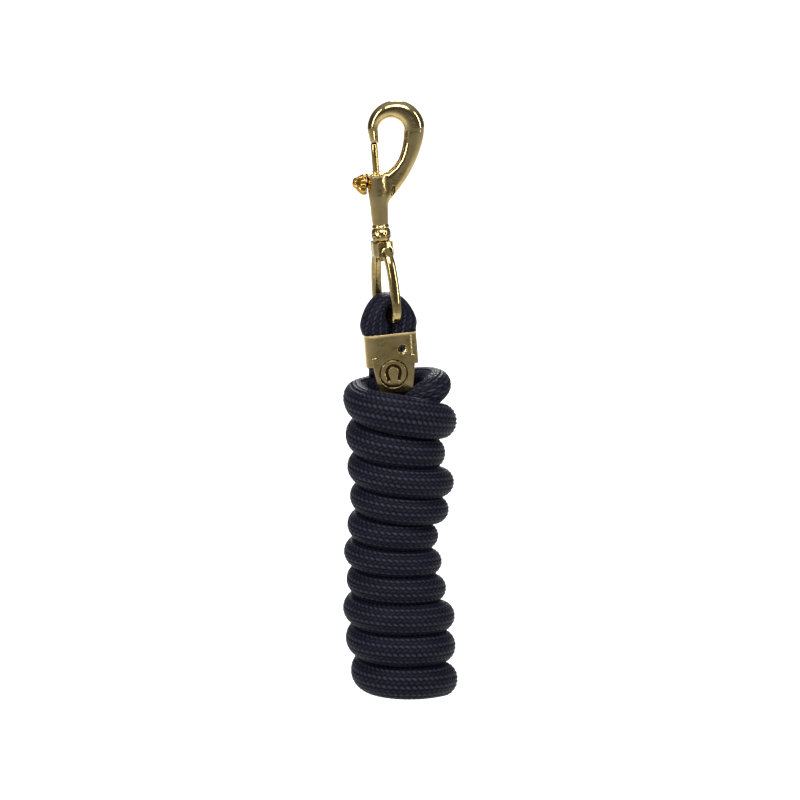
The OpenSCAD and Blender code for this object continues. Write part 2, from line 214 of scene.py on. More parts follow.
# The braid. Its cover has 24 lengthwise columns of stitches, and neighbouring columns slant
# opposite ways and sit half a stitch apart, so a ring of points follows the slants in a zigzag
COLUMNS = 24
STITCH = 0.00257
SLANT = 0.00069              # how far a stitch's ends lie from its middle, along the rope
RELIEF = 0.0006              # how far the stitches stand out
stitches = int(rope_length / STITCH)
hollow_start = run[np.argmin(np.linalg.norm(line[:, :3] - (mouth + HOLLOW[0]), axis=1))]
hollow_end = run[np.argmin(np.linalg.norm(line[:, :3] - (mouth + HOLLOW[4]), axis=1))]
rings = []
for stitch in range(1, stitches - 1):
    hidden = hollow_start < stitch * STITCH < hollow_end
    rings += [stitch] if hidden else [stitch, stitch + 1 / 3, stitch + 2 / 3]
rings = np.array(rings)
# columns that face outwards get three points each, and those pressed on the core get one
columns = np.concatenate([np.arange(-7, 7, 1 / 3), np.arange(7, COLUMNS - 6)])

c, v = columns[None, :], rings[:, None]
within = c % 1 - 0.5
odd = np.floor(c) % 2
phase = (v + odd / 2) % 1 - 0.5
zigzag = 2 * np.abs(c % 2 - 1) - 1
lift = RELIEF * np.cos(np.pi * within) ** 0.8 * np.sqrt(np.maximum(0, 1 - (1.85 * phase) ** 2))
lift = np.where(np.abs(within) > 0.49, 0, lift) - 0.6 * RELIEF
along = v * STITCH + SLANT * zigzag
ends = np.minimum(rings - rings[0], rings[-1] - rings)[:, None]
closing = np.sqrt(np.clip(ends / 2.5 + 0.04, 0, 1))

centre, out, side = (
    np.stack([np.interp(along, run, line[:, first + i]) for i in range(3)], -1) for first in (0, 3, 6)
)
tangents = unit(np.gradient(line[:, :3], axis=0))
ahead = unit(np.stack([np.interp(along, run, tangents[:, i]) for i in range(3)], -1))
out = unit(out - ahead * (out * ahead).sum(-1, keepdims=True))
cross = np.cross(ahead, out)
angle = c * 2 * np.pi / COLUMNS
way = np.cos(angle)[..., None] * out + np.sin(angle)[..., None] * cross
side = unit(side - ahead * (side * ahead).sum(-1, keepdims=True))
thin = np.cross(ahead, side)
half_thick = np.interp(along, run, line[:, 9]) / 2
half_wide = np.interp(along, run, line[:, 10]) / 2
grown = (1 + lift / (ROPE_D / 2)) * closing
points = centre + (grown * half_thick * (way * thin).sum(-1))[..., None] * thin
points += (grown * half_wide * (way * side).sum(-1))[..., None] * side


def built(name, points, quads, finish, caps=()):
    """A smooth mesh object from points and four-sided faces, with extra faces given corner by corner"""
    mesh = bpy.data.meshes.new(name)
    loops = np.concatenate([np.asarray(quads).ravel(), *[np.asarray(cap) for cap in caps]]).astype(np.int32)
    sizes = np.array([4] * len(quads) + [len(cap) for cap in caps], np.int32)
    mesh.vertices.add(len(points))
    mesh.vertices.foreach_set("co", np.asarray(points, np.float32).ravel())
    mesh.loops.add(len(loops))
    mesh.loops.foreach_set("vertex_index", loops)
    mesh.polygons.add(len(sizes))
    mesh.polygons.foreach_set("loop_start", np.concatenate([[0], np.cumsum(sizes)[:-1]]).astype(np.int32))
    mesh.polygons.foreach_set("use_smooth", np.ones(len(sizes), bool))
    mesh.update(calc_edges=True)
    mesh.validate()
    mesh.materials.append(finish)
    piece = bpy.data.objects.new(name, mesh)
    bpy.context.scene.collection.objects.link(piece)
    return piece


def ring_quads(rows, count):
    """Faces between neighbouring rings of a tube that closes on itself"""
    first = np.arange(rows - 1)[:, None] * count
    second = first + count
    here, beside = np.arange(count)[None, :], (np.arange(count)[None, :] + 1) % count
    return np.stack([first + here, first + beside, second + beside, second + here], -1).reshape(-1, 4)


class Wire:
    """One socket of a finish. Used in an expression, it adds the Math nodes"""

    def __init__(self, finish, socket):
        self.finish, self.socket = finish, socket

    def math(self, operation, *values):
        return self.finish.node("Math", {"operation": operation}, dict(enumerate(values)))

    def __add__(self, other):
        return self.math("ADD", self, other)

    def __mul__(self, other):
        return self.math("MULTIPLY", self, other)

    def __sub__(self, other):
        return self.math("SUBTRACT", self, other)

    def __rsub__(self, other):
        return self.math("SUBTRACT", other, self)

    def __pow__(self, other):
        return self.math("POWER", self, other)

    def __mod__(self, other):
        return self.math("FLOORED_MODULO", self, other)

    __radd__, __rmul__ = __add__, __mul__

    def floor(self):
        return self.math("FLOOR", self)

    def clipped(self):
        return self.math("MAXIMUM", self.math("MINIMUM", self, 1), 0)

    def root(self):
        return self.math("SQRT", self.math("MAXIMUM", self, 0))


class Finish:
    """A material in the making"""

    def __init__(self, name):
        self.material = bpy.data.materials.new(name)
        self.material.use_nodes = True
        self.tree = self.material.node_tree
        self.tree.nodes.clear()

    def node(self, kind, settings, sockets, output=0):
        """Adds a node of that kind: its settings first, then its sockets' values or links"""
        node = self.tree.nodes.new("ShaderNode" + kind)
        for key, value in settings.items():
            if key == "stops":
                for stop, (place, colour) in zip(node.color_ramp.elements, value):
                    stop.position, stop.color = place, (*colour, 1)
            else:
                setattr(node, key, value)
        for key, value in sockets.items():
            socket = node.inputs[key]
            if isinstance(value, Wire):
                self.tree.links.new(value.socket, socket)
            else:
                socket.default_value = value
        return Wire(self, node.outputs[output])

    def mixed(self, share, one, other):
        """The first colour with so big a share of the other mixed in"""
        one, other = ((*colour, 1) if isinstance(colour, tuple) else colour for colour in (one, other))
        return self.node("Mix", {"data_type": "RGBA"}, {0: share, 6: one, 7: other}, 2)

    def done(self, sockets):
        """The finished material, with these values on its surface"""
        shader = self.node("BsdfPrincipled", {}, sockets)
        output = self.tree.nodes.new("ShaderNodeOutputMaterial")
        self.tree.links.new(shader.socket, output.inputs["Surface"])
        return self.material


def navy_braid():
    """Dyed navy yarn: oval stitches with fine filaments, each bundle a slightly different tone, with painted
    highlights on the stitch tops and painted shade between the stitches
    """
    f = Finish("navy_braid")
    braid = f.node("Attribute", {"attribute_name": "braid"}, {}, "Vector")
    column, place = (f.node("SeparateXYZ", {}, {0: braid}, axis) for axis in ("X", "Y"))
    number = column.floor()
    odd = number % 2
    shifted = place + odd * 0.5
    across = column - number - 0.5
    down = shifted - shifted.floor() - 0.5
    oval = (1 - (across * 1.75) ** 2 - (down * 2.05) ** 2).root()
    bundle = f.node("CombineXYZ", {}, {"X": number, "Y": shifted.floor()})
    shade = f.node("TexWhiteNoise", {"noise_dimensions": "3D"}, {"Vector": bundle}, "Value")
    strand = f.node("CombineXYZ", {}, {"X": column * 1.3, "Y": place * 9.0, "Z": odd * 7})
    filaments = f.node(
        "TexNoise", {"noise_dimensions": "3D"},
        {"Vector": strand, "Scale": 1.6, "Detail": 3.0, "Roughness": 0.6},
    )
    where = f.node("TexCoord", {}, {}, "Object")
    cloud = f.node("TexNoise", {"noise_dimensions": "3D"}, {"Vector": where, "Scale": 60.0, "Detail": 2.0})
    navy = f.mixed(shade, (0.0014, 0.0014, 0.0048), (0.004, 0.004, 0.012))
    faded = f.mixed((cloud - 0.35).clipped() * 0.8, navy, (0.009, 0.007, 0.016))
    # painted highlight: the tops of the stitches go pale blue, more strongly on every other column
    painted_glints = (filaments * 1.4 - 0.35).clipped() * oval * oval * (0.35 + odd * 0.65)
    lit = f.mixed(painted_glints, faded, (0.10, 0.105, 0.18))
    # painted shade: the dips between the stitches go nearly black
    colour = f.mixed((1 - oval * 1.35).clipped(), lit, (0.0006, 0.0006, 0.0015))
    height = oval * 0.75 + filaments * 0.3
    bump = f.node("Bump", {}, {"Strength": 0.9, "Distance": 0.00035, "Height": height})
    return f.done({
        "Base Color": colour, "Roughness": 0.32 + filaments * 0.25, "Normal": bump,
        "Specular IOR Level": 0.1, "Sheen Weight": 0.01, "Sheen Roughness": 0.4,
        "Sheen Tint": (0.35, 0.37, 0.6, 1),
    })


around_count = len(columns)
last = len(rings) * around_count
quads = ring_quads(len(rings), around_count)
rope = built(
    "lead_rope", points.reshape(-1, 3), quads, navy_braid(),
    [list(range(around_count))[::-1], list(range(last - around_count, last))],
)
# Each face's corners carry their column and stitch, for the yarn's pattern
edge = np.append(columns, COLUMNS - 7)
column_at = np.stack([edge[:-1], edge[1:], edge[1:], edge[:-1]], -1)[None].repeat(len(rings) - 1, 0)
place_at = np.stack([rings[:-1], rings[:-1], rings[1:], rings[1:]], -1)[:, None].repeat(around_count, 1)
pattern = np.zeros((len(rope.data.loops), 3), np.float32)
pattern[: quads.size, 0], pattern[: quads.size, 1] = column_at.ravel(), place_at.ravel()
rope.data.attributes.new("braid", "FLOAT_VECTOR", "CORNER").data.foreach_set("vector", pattern.ravel())
# The cover unrolled and cut into six strips, side by side
STRIPS = 6
stripe = np.minimum((place_at[..., :1] / rings[-1] * STRIPS).astype(int), STRIPS - 1)
strip_map = np.full((len(rope.data.loops), 2), 0.999, np.float32)
strip_map[: quads.size, 0] = ((stripe + 0.02 + 0.96 * (column_at + 7) / COLUMNS) / STRIPS).ravel()
down_strip = np.clip(place_at / rings[-1] * STRIPS - stripe, 0, 1.006)
strip_map[: quads.size, 1] = (0.005 + 0.985 * down_strip).ravel()
rope.data.uv_layers.new(name="OFBake").uv.foreach_set("vector", strip_map.ravel())

start, stop = np.searchsorted(run, [rings[0] * STITCH, rings[-1] * STITCH])
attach(rope, "rope")
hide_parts("rope_eye", "rope_tail", "rope_hank")


# ---------------------------------------------------------------------------------------------
# Snap body. Zinc cast in one: a fat round hook, an arm that sweeps down as a smooth web, and a
# tapered barrel with a beaded rim, slotted for the knob; then tumbled, polished and gold plated.
# It is shaped in millimetres, upright, round the middle of the hook's bend, and then leaned.
AXIS = 1000 * SNAP_AXIS
HOOK_R = 7.5                 # inside the bend
OUTER_R, OUTER_AT = 16.3, (2.9, 1.0)
HOOK_HALF = 4.0              # half the hook's thickness from front to back
NOSE = -6.5
BARREL_TOP, BARREL_END = -23.5, -55.5
BARREL_R, BARREL_END_R = 5.75, 4.37
TAPER_TOP = BARREL_END + 19
BEADS = 13                   # round the barrel's rim
BOLT_HOLE_R, CHAMBER_R, CHAMBER_TOP = 2.2, 3.35, -27.0
KNOB_Z, KNOB_TRAVEL, SLOT_HALF = -30.0, 13.0, 2.0
DIMPLE_Z = -35.0             # the little hollow in the fork of arm and barrel


def blend(a, b, reach):
    """The nearer of two surfaces' distances, with a fillet where they meet"""
    share = np.clip(0.5 + 0.5 * (b - a) / reach, 0, 1)
    return b + (a - b) * share - reach * share * (1 - share)


def outline(corners, x, z):
    """Distance to a flat outline, negative inside it"""
    nearest, inside = np.inf, False
    for (ax, az), (bx, bz) in zip(corners, np.roll(corners, -1, axis=0)):
        ex, ez = bx - ax, bz - az
        t = np.clip(((x - ax) * ex + (z - az) * ez) / (ex * ex + ez * ez), 0, 1)
        nearest = np.minimum(nearest, np.hypot(x - ax - t * ex, z - az - t * ez))
        crosses = ((az > z) != (bz > z)) & (x < (bx - ax) * (z - az) / (bz - az + 1e-12) + ax)
        inside = inside ^ crosses
    return np.where(inside, -nearest, nearest)


def plate(flat, deep, edge):
    """A flat outline made as thick as deep says, with its edges rounded"""
    a, b = flat + edge, deep + edge
    return np.minimum(np.maximum(a, b), 0) + np.hypot(np.maximum(a, 0), np.maximum(b, 0)) - edge


def skin(shape, low, high, step):
    """Points and four-sided faces of the surface where the shape's distance is nought"""
    axes = [np.arange(a, b + step, step) for a, b in zip(low, high)]
    size = tuple(len(axis) for axis in axes)
    x, y, z = axes
    d = np.broadcast_to(shape(x[:, None, None], y[None, :, None], z[None, None, :]), size)
    cells = tuple(n - 1 for n in size)
    total, count = np.zeros((3, math.prod(cells))), np.zeros(math.prod(cells))
    quads = []
    for axis in range(3):
        near = d[tuple(slice(None, -1) if i == axis else slice(None) for i in range(3))]
        far = d[tuple(slice(1, None) if i == axis else slice(None) for i in range(3))]
        at = np.nonzero((near < 0) != (far < 0))
        here, there = near[at], far[at]
        crossing = [axes[i][at[i]].astype(float) for i in range(3)]
        crossing[axis] += step * here / (here - there)
        b, c = (axis + 1) % 3, (axis + 2) % 3
        corners = []
        for back_b, back_c in ((0, 0), (1, 0), (1, 1), (0, 1)):
            cell = list(at)
            cell[b], cell[c] = cell[b] - back_b, cell[c] - back_c
            flat = np.ravel_multi_index(cell, cells)
            count += np.bincount(flat, minlength=count.size)
            for i in range(3):
                total[i] += np.bincount(flat, crossing[i], count.size)
            corners.append(flat)
        faces = np.stack(corners, 1)
        quads.append(np.where((here < 0)[:, None], faces, faces[:, ::-1]))
    used = count > 0
    number = np.cumsum(used) - 1
    p = (total[:, used] / count[used]).T
    e = 0.2 * step
    for _ in range(3):
        slope = np.stack([
            (shape(*(p + e * np.eye(3)[i]).T) - shape(*(p - e * np.eye(3)[i]).T)) / (2 * e) for i in range(3)
        ], 1)
        move = shape(*p.T)[:, None] * slope / np.maximum((slope ** 2).sum(1, keepdims=True), 0.3)
        p -= np.clip(move, -0.4 * step, 0.4 * step)
    return p, number[np.concatenate(quads)]


def crease_depth(p, shape, reach=1.1):
    """How deep each point lies in a crease of the shape, from 0 to 1"""
    e = 0.06
    slope = np.stack([
        shape(*(p + e * np.eye(3)[i]).T) - shape(*(p - e * np.eye(3)[i]).T) for i in range(3)
    ], 1)
    away = p + reach * unit(slope + 1e-9)
    return np.clip(1 - shape(*away.T) / reach, 0, 1)


def paint_crease_shade(piece, depth):
    """Writes the depth of the crease at each point, for the finish to darken as painted shade"""
    values = piece.data.attributes.new("crease_shade", "FLOAT", "POINT").data
    values.foreach_set("value", depth.astype(np.float32))


def arc(centre, radius, angles):
    """Points on an arc, one for each angle in degrees"""
    turns = [math.radians(angle) for angle in angles]
    return [[centre[0] + radius * math.cos(turn), centre[1] + radius * math.sin(turn)] for turn in turns]


def hung(p):
    """Points in millimetres in the snap's upright frame, leaned and in metres"""
    x, y, z = np.asarray(p, float).T / 1000
    return np.stack(leaned((x, y, z)), 1)


def plated_gold(name, warm=0.0, peened=0.0, grain=1.0):
    """Gold plate over a polished casting: faint waves and tumbling marks, with painted shade turning its
    creases a dull olive
    """
    f = Finish(name)
    crease_shade = f.node("Attribute", {"attribute_name": "crease_shade"}, {}, "Fac")
    where = f.node("TexCoord", {}, {}, "Object")
    waves = f.node("TexNoise", {}, {"Vector": where, "Scale": 190.0, "Detail": 2.0, "Roughness": 0.5})
    marks = f.node("TexNoise", {}, {"Vector": where, "Scale": 1500.0, "Detail": 4.0, "Roughness": 0.65})
    patches = f.node("TexNoise", {}, {"Vector": where, "Scale": 75.0, "Detail": 3.0, "Roughness": 0.6})
    pale = (0.80, 0.63 - 0.14 * warm, 0.32 - 0.20 * warm)
    deep = (0.54 + 0.04 * warm, 0.39 - 0.08 * warm, 0.14 - 0.08 * warm)
    colour = f.mixed((patches * 1.6 - 0.3).clipped(), deep, pale)
    height = waves * 0.8 + marks * 0.10 * grain
    if peened:
        dents = f.node(
            "TexVoronoi", {"feature": "SMOOTH_F1"}, {"Vector": where, "Scale": 620.0, "Smoothness": 0.5},
        )
        height = height + dents * peened
        colour = f.mixed((dents * 1.5 - 0.25).clipped(), colour, (0.46, 0.33, 0.12))
    # painted shade: the colour goes dark olive the deeper a point lies in a crease
    colour = f.mixed((crease_shade * 2.2 - 0.25).clipped(), colour, (0.055, 0.035, 0.008))
    bump = f.node("Bump", {}, {"Strength": 0.4, "Distance": 0.0004, "Height": height})
    return f.done({
        "Base Color": colour, "Metallic": 1.0, "Normal": bump,
        "Roughness": 0.05 + patches * 0.08 + marks * 0.05 + crease_shade * 0.3,
    })


def arm_edge(t):
    """The arm's outer edge, from the bend at 0 down to the barrel at 1"""
    top, pull, low = np.array([19.2, -1.0]), np.array([14.0, -24.0]), np.array([AXIS + 4, -42.0])
    return (1 - t) ** 2 * top + 2 * t * (1 - t) * pull + t * t * low


HOOK_OUTLINE = np.array(
    [[-HOOK_R - 4.7, NOSE], [-HOOK_R - 5.5, -1.0]]
    + arc(OUTER_AT, OUTER_R, range(176, -1, -8))
    + [list(arm_edge(i / 12)) for i in range(1, 13)]
    + [[AXIS, BARREL_TOP - 8], [AXIS, BARREL_TOP], [-HOOK_R, BARREL_TOP], [-HOOK_R, NOSE]]
)
MOUTH_OUTLINE = np.array(
    arc((0, 0), HOOK_R, range(0, 181, 10))
    + [[-HOOK_R, NOSE], [AXIS - 8, NOSE], [AXIS - 8, BARREL_TOP + 0.4], [HOOK_R - 11, BARREL_TOP + 0.4],
       [HOOK_R - 7.4, -20.3], [HOOK_R - 4.2, -16], [HOOK_R - 2.2, -11], [HOOK_R - 0.9, -6]]
)


def snap_shape(x, y, z):
    flat = np.maximum(outline(HOOK_OUTLINE, x, z), -outline(MOUTH_OUTLINE, x, z))
    web = np.clip((-z - 2) / 22, 0, 1)           # the arm flattens and thins towards the barrel
    dome = 4.6 - 1.2 * web
    half = HOOK_HALF + 0.3 - 0.8 * web
    hook = plate(flat, (np.abs(y) / half - 1) * dome, dome) * np.minimum(1, half / dome + 0.1)
    from_axis = np.hypot(x - AXIS, y)
    wall = from_axis - np.interp(z, [BARREL_END, TAPER_TOP, 0], [BARREL_END_R, BARREL_R, BARREL_R])
    barrel = plate(wall, np.abs(z - (BARREL_TOP + BARREL_END) / 2) - (BARREL_TOP - BARREL_END) / 2, 0.5)
    body = blend(hook, barrel, 2.2)
    turn = np.arctan2(y, x - AXIS)
    bead = np.hypot(from_axis - BARREL_R + 0.35, z - BARREL_TOP + 0.9) - 0.9 - 0.34 * np.cos(BEADS * turn)
    body = blend(body, bead, 0.35)
    foot = np.hypot(from_axis - BARREL_END_R + 0.2, z - BARREL_END - 1.0) - 0.85
    body = blend(body, foot, 0.4)
    hollow = np.where(z > CHAMBER_TOP, from_axis - BOLT_HOLE_R, from_axis - CHAMBER_R)
    body = np.maximum(body, -np.maximum(hollow, z - NOSE - 1.2))
    from_slot = np.abs(z - KNOB_Z + KNOB_TRAVEL / 2) - KNOB_TRAVEL / 2 - SLOT_HALF
    slot = plate(np.abs(y) - SLOT_HALF, from_slot, SLOT_HALF - 0.1)
    body = np.maximum(body, -np.maximum(slot, x - AXIS))
    across, along = (x + 1.4 - 0.12 * (z - DIMPLE_Z)) / 1.3, (z - DIMPLE_Z) / 3.9
    dimple = np.hypot(np.hypot(across, along) * 1.4, (np.abs(y) - 3.4) * 0.7) - 1.4
    return np.maximum(body, -dimple)


p, quads = skin(snap_shape, (-18, -7.5, -57), (21, 7.5, 19), 0.34)
snap_body = built("snap_body_casting", hung(p), quads, plated_gold("snap_gold"))
# painted shade in the casting's creases
paint_crease_shade(snap_body, crease_depth(p, snap_shape))
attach(snap_body, "snap")
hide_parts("snap_body")


# ---------------------------------------------------------------------------------------------
# Bolt. A turned steel pin, gold plated, whose narrower tip enters the hook's nose; its thick head
# slides in the barrel on the spring.
def lathed(profile, sides=72):
    """Points, faces and end caps turned from radii and heights in mm, about an upright axis"""
    profile = np.array(profile, float)
    angle = np.arange(sides) * 2 * np.pi / sides
    r, h = np.abs(profile[:, 0])[:, None], profile[:, 1][:, None]
    ring = np.stack([r * np.cos(angle), r * np.sin(angle), h + 0 * angle], -1)
    count = len(profile)
    caps = [list(range(sides))[::-1], list(range((count - 1) * sides, count * sides))]
    return ring.reshape(-1, 3), ring_quads(count, sides), caps


def on_axis(p):
    """Turned points moved to the barrel's axis and hung"""
    return hung(p + np.array([AXIS, 0, 0]))


p, quads, caps = lathed([
    (0.6, -33.5), (2.6, -33.5), (3.12, -33.0), (3.12, -27.0), (2.7, -26.5), (1.95, -26.3), (1.95, -25.0),
    (1.95, -15.0), (1.95, -7.1), (1.8, -6.65), (1.45, -6.6), (1.4, -5.9), (1.2, -5.4), (0.3, -5.3),
])
bolt = built("bolt_pin", on_axis(p), quads, plated_gold("bolt_gold", warm=0.35), caps)
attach(bolt, "bolt")
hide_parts("bolt")


# ---------------------------------------------------------------------------------------------
# Thumb knob. A cast cone with ten rounded flutes for the thumb's grip, wide against the barrel,
# driven on a stem through the slot into the bolt's head.
KNOB = [
    (1.7, -0.8), (1.7, 5.0), (1.75, 5.95), (5.3, 6.05), (6.0, 6.5), (6.1, 7.4), (5.6, 8.9), (4.7, 10.2),
    (3.8, 11.2), (3.1, 12.2), (2.8, 13.0), (2.3, 13.6), (1.2, 13.95), (0.4, 14.0),
]
CONE_START = 5.9             # along the knob, where the stem ends
FLUTES = 10
TIP_UP = math.radians(15)    # the knob is set on its stem a little towards the hook
p, quads, caps = lathed(KNOB, sides=14 * FLUTES)
turn = np.arctan2(p[:, 1], p[:, 0])
flute = (0.5 + 0.5 * np.cos(FLUTES * turn)) ** 3
grip = np.clip((np.hypot(p[:, 0], p[:, 1]) - 1.9) / 1.5, 0, 1) * np.clip((14.6 - p[:, 2]) / 1.5, 0, 1)
cut = 1 - 0.13 * grip * flute
p[:, 0] *= cut
p[:, 1] *= cut
rise = np.clip(p[:, 2] - CONE_START, 0, None) * math.tan(TIP_UP)
tip = 0.22 * np.clip(p[:, 2] - CONE_START, 0, 1) * p[:, 0]
knob_points = np.stack([AXIS - p[:, 2] + tip, p[:, 1], KNOB_Z + p[:, 0] + rise], 1)
knob = built("thumb_knob_fluted", hung(knob_points), quads, plated_gold("knob_gold", warm=1.0), caps)
# painted shade in the hollows of the flutes
paint_crease_shade(knob, 0.55 * grip * flute)
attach(knob, "bolt")
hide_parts("thumb_knob")


# ---------------------------------------------------------------------------------------------
# Bolt spring. Seven coils of drawn steel wire between the stud's plug and the bolt's head, seen
# only through the knob's slot.
def spring_steel():
    f = Finish("spring_steel")
    where = f.node("TexCoord", {}, {}, "Object")
    drawn = f.node("TexNoise", {}, {"Vector": where, "Scale": 900.0, "Detail": 3.0})
    colour = f.mixed(drawn, (0.30, 0.30, 0.31), (0.52, 0.52, 0.53))
    bump = f.node("Bump", {}, {"Strength": 0.3, "Distance": 0.0001, "Height": drawn})
    return f.done({"Base Color": colour, "Metallic": 1.0, "Roughness": 0.25 + drawn * 0.2, "Normal": bump})


PLUG_TOP, HEAD_END = -53.0, -33.5
SPRING_R, WIRE_R, COILS = 2.72, 0.3, 7
WIRE_SIDES = 10
turn = np.linspace(0, 2 * np.pi * COILS, COILS * 28 + 1)[:, None]
round_wire = np.linspace(0, 2 * np.pi, WIRE_SIDES, endpoint=False)[None, :]
rise = PLUG_TOP + 0.35 + (HEAD_END - PLUG_TOP - 0.7) * turn / turn[-1]
reach = SPRING_R + WIRE_R * np.cos(round_wire)
p = np.stack([reach * np.cos(turn), reach * np.sin(turn), rise + WIRE_R * np.sin(round_wire)], -1)
p = p.reshape(-1, 3)
quads = ring_quads(len(turn), WIRE_SIDES)[:, ::-1]
caps = [list(range(WIRE_SIDES)), list(range(len(p) - WIRE_SIDES, len(p)))[::-1]]
spring = built("bolt_spring_wire", on_axis(p), quads, spring_steel(), caps)
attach(spring, "snap")
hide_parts("bolt_spring")
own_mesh(spring)


# ---------------------------------------------------------------------------------------------
# Swivel stud. A plug pressed into the barrel's end, a rounded, peened collar below it, a shank
# through the eye's boss and an end hammered over to hold the eye on.
STUD = [
    (0.4, PLUG_TOP), (3.0, PLUG_TOP), (3.17, -53.3), (3.17, -55.4), (4.1, -55.5), (4.9, -55.9), (5.45, -57.0),
    (5.6, -58.6), (5.6, -59.6), (5.45, -61.0), (4.95, -62.1), (4.3, -62.5), (2.62, -62.6), (2.6, -63.5),
    (2.6, -71.0), (2.62, -71.9), (3.1, -72.1), (3.5, -72.6), (3.45, -73.4), (2.9, -74.1), (1.8, -74.5),
    (0.4, -74.6),
]
COLLAR_Z, PEEN_TOP = -59.0, -72.0
p, quads, caps = lathed(through(np.array(STUD[::-1]), 4), sides=96)
turn, level = np.arctan2(p[:, 1], p[:, 0]), p[:, 2]
collar = np.exp(-((level - COLLAR_Z) / 2.6) ** 4)
dents = np.cos(7 * turn + 1.9 * np.sin(0.9 * level)) * np.cos(1.75 * (level - COLLAR_Z) + np.sin(3 * turn))
p[:, :2] *= (1 - 0.055 * collar * (dents > 0) * dents)[:, None]
stud = built("swivel_stud_turned", on_axis(p), quads, plated_gold("stud_gold", peened=1.3), caps)
# painted shade in the collar's hammer dents, and the hammered end below the eye's boss painted darker too
paint_crease_shade(stud, 0.3 * collar * np.clip(dents, 0, 1) + 0.35 * (level < PEEN_TOP))
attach(stud, "snap")
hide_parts("swivel_stud")


# ---------------------------------------------------------------------------------------------
# Swivel eye. A cast ring of round bar with faint flats and a bored boss at its top, free to turn
# on the stud. It hangs turned by 66 degrees, so its legs are seen nearly edge on.
EYE_TURN = math.radians(-66)
EYE_TOP, EYE_FOOT = -69.1, 1000 * EYE_BAR
BAR_R = 2.7
BOSS_TOP, BOSS_END, BOSS_R = -62.8, -71.8, 5.2
BORE_R, BORE_END = 2.7, -74
EYE_SIDE = [
    (0, EYE_TOP), (4.0, -69.3), (7.2, -71.2), (9.6, -75.2), (11.3, -81.0), (12.5, -87.5), (12.9, -93.5),
    (13.0, -99.0), (12.3, -103.8), (10.0, -106.8), (6.6, -106.8), (3.2, -105.2), (0, EYE_FOOT),
]
side = through(np.array(EYE_SIDE), 3)
EYE_LINE = np.vstack([side, side[-2:0:-1] * [-1, 1]])


def eye_shape(x, y, z):
    ring = np.abs(outline(EYE_LINE, x, z))
    bar = (ring ** 3 + np.abs(y) ** 3) ** (1 / 3) - BAR_R
    from_axis = np.hypot(x, y)
    block = np.maximum(np.abs(x) - 5.4, np.abs(y) - 4.7)
    boss = plate(blend(from_axis - BOSS_R - 0.2, block, 1.0),
                 np.abs(z - (BOSS_TOP + BOSS_END) / 2) - (BOSS_TOP - BOSS_END) / 2, 0.8)
    body = np.maximum(blend(bar, boss, 1.8), z - BOSS_TOP)
    return np.maximum(body, np.where(z > BORE_END, BORE_R - from_axis, -9))


p, quads = skin(eye_shape, (-17, -7, -111), (17, 7, -61), 0.34)
eye_points = np.stack(turned(p.T, EYE_TURN), 1)
eye = built("swivel_eye_casting", on_axis(eye_points), quads, plated_gold("eye_gold", peened=0.12))
# painted shade in the casting's creases
paint_crease_shade(eye, crease_depth(p, eye_shape, 0.9))
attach(eye, "swivel")
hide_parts("swivel_eye")


# ---------------------------------------------------------------------------------------------
# Clamp. One stamped sheet of plated steel: its wings are bent round both strands of the rope and
# nearly meet at the back, and its tongue hangs down the front with a punched, dimpled hole above
# it. A plain ring with a horseshoe is struck into the tongue.
CLAMP_TOP, CLAMP_END = -115.5, -133.5
CLAMP_W, CLAMP_D, SHEET = 30.4, 19.4, 1.2
TONGUE_END = -150.0
TONGUE_HALF, TONGUE_TIP, TIP_R = 12.8, 6.35, 4
CORNER_R = 6                 # the bends between the front plate and the wings
BACK_GAP = 3.0
PUNCH, PUNCH_R, DISH_R = (5.5, -124.9), 1.6, 3.4
MARK, RING_R, SHOE_R = (-0.8, -138.5), 7.9, 3.9
TONGUE = np.array(
    [[TONGUE_HALF, CLAMP_END + 5]]
    + arc((TONGUE_TIP, TONGUE_END + TIP_R), TIP_R, range(0, -91, -15))
    + arc((-TONGUE_TIP, TONGUE_END + TIP_R), TIP_R, range(-90, -181, -15))
    + [[-TONGUE_HALF, CLAMP_END + 5]]
)


def bow(z):
    """How far the tongue is bent back towards the rope at each height"""
    return 0.5 * np.clip((CLAMP_END - z) / 16, 0, 1) ** 2


